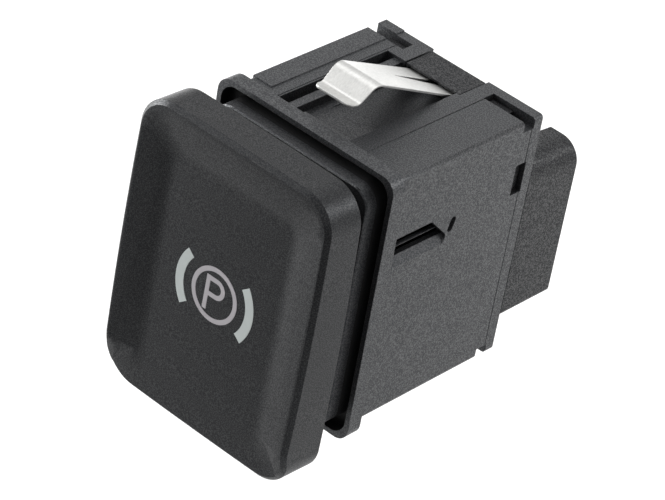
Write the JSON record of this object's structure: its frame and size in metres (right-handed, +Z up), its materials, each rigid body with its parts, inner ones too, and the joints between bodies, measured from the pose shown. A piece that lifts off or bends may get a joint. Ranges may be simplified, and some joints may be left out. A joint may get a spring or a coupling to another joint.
{
  "type": "electric parking brake switch",
  "caption": "Push button for an electric parking brake: dished cap with a lit sign, flanged housing with spring clips above and below, pin connector behind.",
  "frame": {"origin": "centre of the seat plane behind the flange, on the middle line of the housing", "axes": "+X to the right and +Z up as the sign stands, -Y towards the finger, +Y into the panel along the housing"},
  "size_m": [0.0308, 0.0506, 0.046],
  "materials": {
    "housing_plastic": "satin moulded",
    "base_plastic": "satin moulded",
    "cap_plastic": "fine grained",
    "carrier_plastic": "satin moulded",
    "clip_steel": "bright rolled",
    "terminal_metal": "tin plated",
    "board_laminate": "lacquered",
    "lamp_resin": "clear resin",
    "chip_resin": "moulded",
    "chamber_plastic": "smooth",
    "switch_plastic": "moulded",
    "plunger_plastic": "smooth",
    "sign_pale": "smooth",
    "sign_bright": "smooth"
  },
  "bodies": {
    "housing": {"housing": "housing_plastic", "connector_base": "base_plastic", "circuit_board": "board_laminate", "led_indicator": "lamp_resin", "led_left": "lamp_resin", "led_right": "lamp_resin", "controller": "chip_resin", "light_chamber": "chamber_plastic", "switch_body_left": "switch_plastic", "switch_body_right": "switch_plastic", "resistor_1": "chip_resin", "resistor_2": "chip_resin", "resistor_3": "chip_resin", "resistor_4": "chip_resin", "terminal_1": "terminal_metal", "terminal_2": "terminal_metal", "terminal_3": "terminal_metal", "terminal_4": "terminal_metal", "terminal_5": "terminal_metal", "terminal_6": "terminal_metal", "terminal_7": "terminal_metal", "terminal_8": "terminal_metal", "terminal_9": "terminal_metal", "terminal_10": "terminal_metal"},
    "button": {"button_cap": "cap_plastic", "button_carrier": "carrier_plastic", "light_ring": "sign_pale", "light_letter": "sign_pale", "light_bracket_left": "sign_bright", "light_bracket_right": "sign_bright"},
    "plunger_left": {"plunger_left": "plunger_plastic"},
    "plunger_right": {"plunger_right": "plunger_plastic"},
    "clip_top": {"spring_clip_top": "clip_steel"},
    "clip_bottom": {"spring_clip_bottom": "clip_steel"}
  },
  "joints": [
    {"name": "button_press", "type": "slide", "parent": "housing", "child": "button", "axis": [0, 1, 0], "range_m": [0, 0.002], "stiffness_N_per_m": 2000, "springref_m": -0.001},
    {"name": "plunger_left_slide", "type": "slide", "parent": "housing", "child": "plunger_left", "axis": [0, 1, 0], "range_m": [0, 0.002]},
    {"name": "plunger_right_slide", "type": "slide", "parent": "housing", "child": "plunger_right", "axis": [0, 1, 0], "range_m": [0, 0.002]},
    {"name": "clip_top_flex", "type": "hinge", "parent": "housing", "child": "clip_top", "pos_m": [-0.0004, 0.0206, 0.0163], "axis": [1, 0, 0], "range_deg": [0, 11], "stiffness_Nm_per_rad": 0.75},
    {"name": "clip_bottom_flex", "type": "hinge", "parent": "housing", "child": "clip_bottom", "pos_m": [-0.0004, 0.0206, -0.0163], "axis": [-1, 0, 0], "range_deg": [0, 11], "stiffness_Nm_per_rad": 0.75}
  ],
  "couplings": [
    {"joint": "plunger_left_slide", "follows": "button_press", "ratio": 1},
    {"joint": "plunger_right_slide", "follows": "button_press", "ratio": 1}
  ]
}
